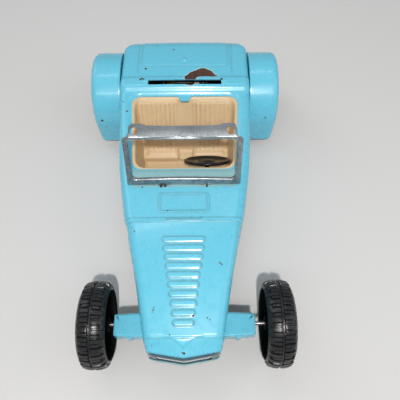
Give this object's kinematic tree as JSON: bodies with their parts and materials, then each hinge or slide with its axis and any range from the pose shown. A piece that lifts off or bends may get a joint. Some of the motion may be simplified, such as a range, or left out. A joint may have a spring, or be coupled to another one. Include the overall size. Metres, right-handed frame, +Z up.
{
  "type": "friction toy roadster",
  "caption": "Pressed-steel toy roadster with open cockpit, windshield frame, rear fenders, lugged wheels and a geared flywheel friction motor on the rear axle.",
  "frame": {"origin": "on the ground, at the middle of the toy's length and width", "axes": "+Z up, -Y towards the nose, +X towards the car's own left"},
  "size_m": [0.162, 0.28, 0.1084],
  "materials": {
    "blue_paint": "gloss enamel, chipped at edges",
    "dark_steel": "dark, dull",
    "zinc_sheet": "zinc-coated sheet, mottled",
    "cream_plastic": "moulded, satin",
    "black_plastic": "moulded, glossy",
    "wheel_rubber": "moulded, satin",
    "plated_steel": "bright plated",
    "bare_steel": "plain drawn rod",
    "gear_steel": "stamped",
    "pinion_brass": "cut",
    "cast_metal": "turned casting"
  },
  "bodies": {
    "car": {"body_shell": "blue_paint", "grille": "dark_steel", "base_plate": "dark_steel", "windshield_frame": "zinc_sheet", "interior_tub": "cream_plastic", "steering_column": "black_plastic", "rear_fender_left": "blue_paint", "rear_fender_right": "blue_paint", "fender_rivets": "plated_steel", "tub_screws": "plated_steel", "front_axle_beam": "blue_paint", "front_axle": "bare_steel", "front_axle_caps": "plated_steel", "motor_frame_left": "dark_steel", "motor_frame_right": "dark_steel", "motor_spacers": "bare_steel", "motor_rivets": "plated_steel"},
    "front_left": {"front_wheel_left": "wheel_rubber"},
    "front_right": {"front_wheel_right": "wheel_rubber"},
    "rear_drive": {"rear_axle": "bare_steel", "rear_wheel_left": "wheel_rubber", "rear_wheel_right": "wheel_rubber", "rear_axle_caps": "plated_steel", "axle_gear": "gear_steel"},
    "middle_stage": {"middle_shaft": "bare_steel", "middle_pinion": "pinion_brass", "middle_gear": "gear_steel"},
    "flywheel_stage": {"flywheel_shaft": "bare_steel", "flywheel_pinion": "pinion_brass", "flywheel": "cast_metal"},
    "steering": {"steering_wheel": "black_plastic"}
  },
  "joints": [
    {"name": "front_wheel_left_spin", "type": "hinge", "parent": "car", "child": "front_left", "pos_m": [0.06645, -0.109, 0.031], "axis": [1, 0, 0], "continuous": true},
    {"name": "front_wheel_right_spin", "type": "hinge", "parent": "car", "child": "front_right", "pos_m": [-0.06245, -0.109, 0.031], "axis": [1, 0, 0], "continuous": true},
    {"name": "rear_axle_spin", "type": "hinge", "parent": "car", "child": "rear_drive", "pos_m": [0, 0.103, 0.031], "axis": [1, 0, 0], "continuous": true},
    {"name": "middle_stage_spin", "type": "hinge", "parent": "car", "child": "middle_stage", "pos_m": [0, 0.09865, 0.04723], "axis": [1, 0, 0], "continuous": true},
    {"name": "flywheel_spin", "type": "hinge", "parent": "car", "child": "flywheel_stage", "pos_m": [0, 0.08194, 0.04547], "axis": [1, 0, 0], "continuous": true},
    {"name": "steering_wheel_turn", "type": "hinge", "parent": "car", "child": "steering", "pos_m": [0.018, 0.017, 0.049], "axis": [0, 0.7431, 0.6691], "continuous": true}
  ],
  "couplings": [
    {"joint": "middle_stage_spin", "follows": "rear_axle_spin", "ratio": -3},
    {"joint": "flywheel_spin", "follows": "rear_axle_spin", "ratio": 9}
  ]
}
